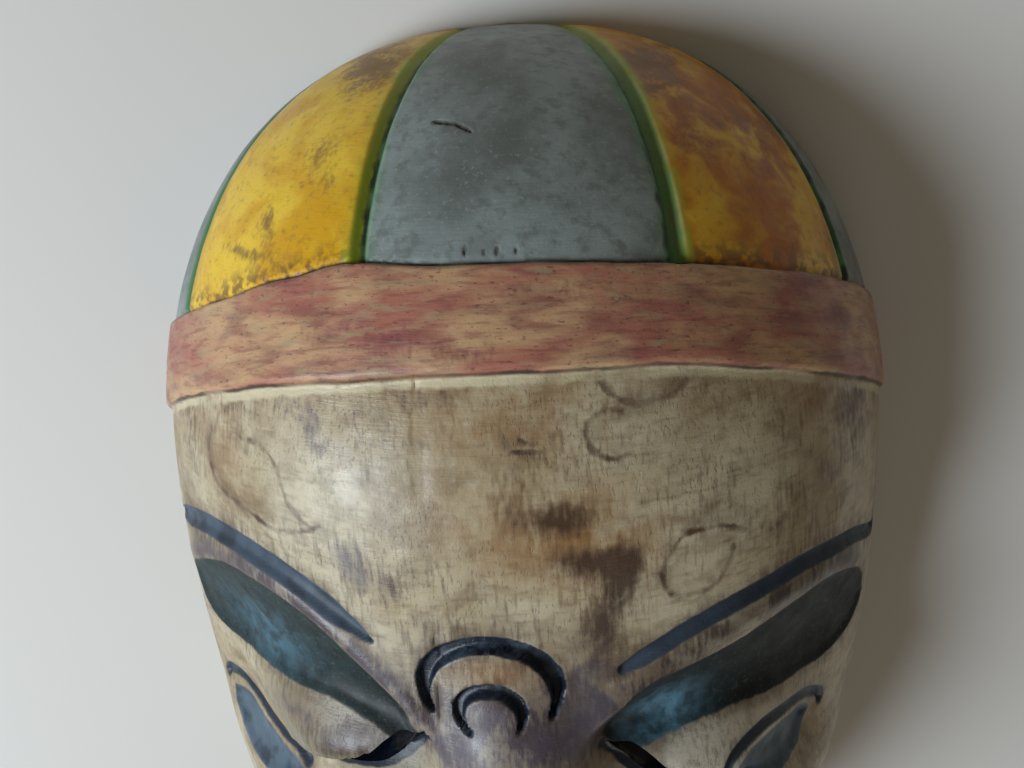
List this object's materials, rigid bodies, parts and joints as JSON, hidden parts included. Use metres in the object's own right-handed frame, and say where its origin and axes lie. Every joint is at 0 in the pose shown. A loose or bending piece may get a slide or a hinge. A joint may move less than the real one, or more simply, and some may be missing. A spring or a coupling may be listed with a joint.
{
  "type": "carved wooden face mask",
  "caption": "Hollow carved wooden face mask with a ribbed skullcap, headband, grooved brows and narrow eye slits, lying on its flat rim.",
  "frame": {"origin": "on the plane of the flat rim, at the middle of the mask's width and height", "axes": "+Y up the face to the crown, +Z straight out of the face, +X to the viewer's right when looking at the face"},
  "size_m": [0.1729, 0.247, 0.1036],
  "materials": {
    "painted_wood": "worn satin paint and polished bare wood"
  },
  "bodies": {
    "root": {"mask": "painted_wood"}
  },
  "joints": []
}
